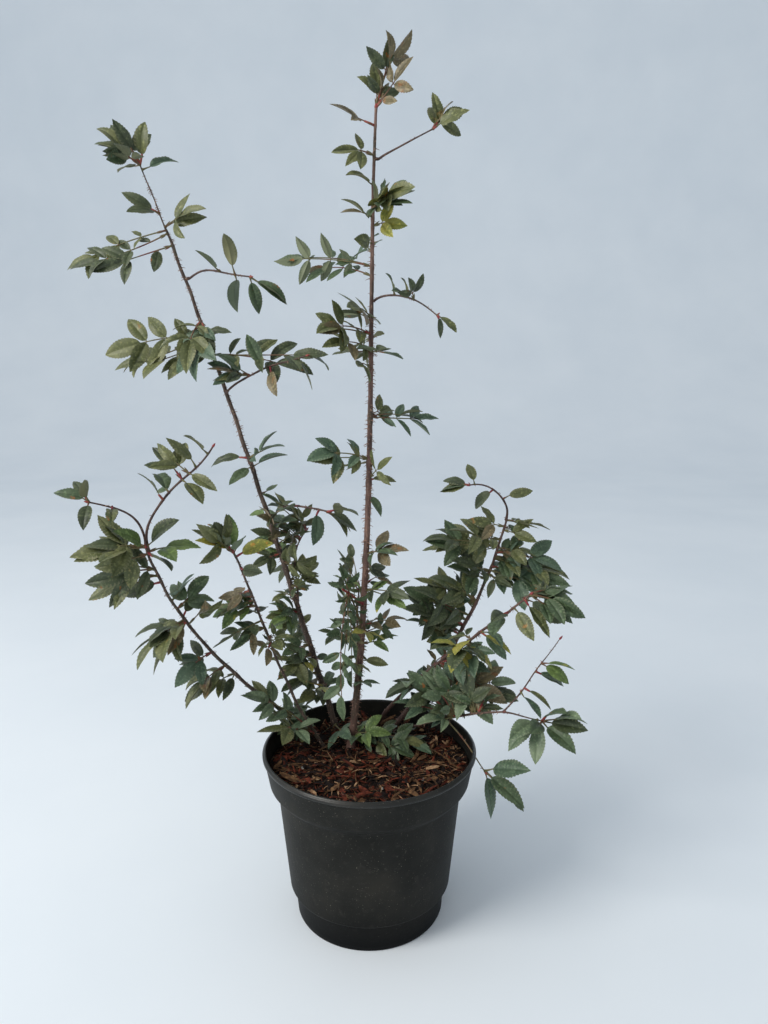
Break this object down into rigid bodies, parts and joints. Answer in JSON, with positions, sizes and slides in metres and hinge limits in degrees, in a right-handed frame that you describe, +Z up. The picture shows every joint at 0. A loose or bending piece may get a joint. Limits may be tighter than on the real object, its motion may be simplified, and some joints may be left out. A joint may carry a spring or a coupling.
{
  "type": "potted rose bush",
  "caption": "Young bush rose with thorny upright and spreading canes and airy autumn-tinted leaf sprays, standing in a round black plastic nursery pot.",
  "frame": {"origin": "middle of the pot's flat underside, on the surface it stands on", "axes": "+Z up along the plant, -Y towards the front, +X to the right"},
  "size_m": [0.475, 0.2188, 0.7406],
  "materials": {
    "pot_plastic": "charcoal black moulded plastic, dull, with fine dust specks",
    "potting_mix": "moist reddish-brown bark fibre mulch",
    "cane_bark": "reddish-brown young rose bark, dull, set with prickles",
    "bough_bark": "dark reddish-brown young shoot, dull",
    "rose_leaf": "blue-green to olive rose leaves, slightly satin, some yellow, orange and bronze"
  },
  "bodies": {
    "root": {"pot": "pot_plastic", "soil": "potting_mix", "cane_centre": "cane_bark", "cane_left": "cane_bark", "cane_far_left": "cane_bark", "cane_mid_left": "cane_bark", "cane_right": "cane_bark", "cane_right_low": "cane_bark", "cane_low_right": "cane_bark", "bough_far_left": "bough_bark", "bough_left_arch": "bough_bark", "bough_left_red": "bough_bark", "bough_left_shoot": "bough_bark", "bough_right_top": "bough_bark", "bough_low_right": "bough_bark", "leaves_crown_top": "rose_leaf", "leaves_crown_upper_left": "rose_leaf", "leaves_crown_right": "rose_leaf", "leaves_upper_right": "rose_leaf", "leaves_upper_left_arm": "rose_leaf", "leaves_right_arm": "rose_leaf", "leaves_mid_left_tuft": "rose_leaf", "leaves_mid_right_tuft": "rose_leaf", "leaves_mid_left_fan": "rose_leaf", "leaves_mid_right_small": "rose_leaf", "leaves_centre_right": "rose_leaf", "leaves_centre_left": "rose_leaf", "leaves_left_tip": "rose_leaf", "leaves_left_upper_right": "rose_leaf", "leaves_left_upper_arm": "rose_leaf", "leaves_left_long_arm": "rose_leaf", "leaves_left_hang": "rose_leaf", "leaves_left_low_arm": "rose_leaf", "leaves_left_mid_arm": "rose_leaf", "leaves_left_mid_low": "rose_leaf", "leaves_left_red_fan": "rose_leaf", "leaves_left_inner": "rose_leaf", "leaves_left_inner_low": "rose_leaf", "leaves_low_centre": "rose_leaf", "leaves_far_left_end": "rose_leaf", "leaves_far_left_top": "rose_leaf", "leaves_left_arch": "rose_leaf", "leaves_far_left_low": "rose_leaf", "leaves_far_left_hang": "rose_leaf", "leaves_left_fern": "rose_leaf", "leaves_low_left_hang": "rose_leaf", "leaves_rim_left": "rose_leaf", "leaves_mid_left_crown": "rose_leaf", "leaves_mid_left_low": "rose_leaf", "leaves_right_top": "rose_leaf", "leaves_right_upper": "rose_leaf", "leaves_right_mid": "rose_leaf", "leaves_right_inner": "rose_leaf", "leaves_right_outer": "rose_leaf", "leaves_right_low": "rose_leaf", "leaves_right_bottom": "rose_leaf", "leaves_low_right_twig": "rose_leaf", "leaves_low_right_sprig": "rose_leaf", "leaves_low_right_hang": "rose_leaf", "leaves_soil_sprigs": "rose_leaf"}
  },
  "joints": []
}
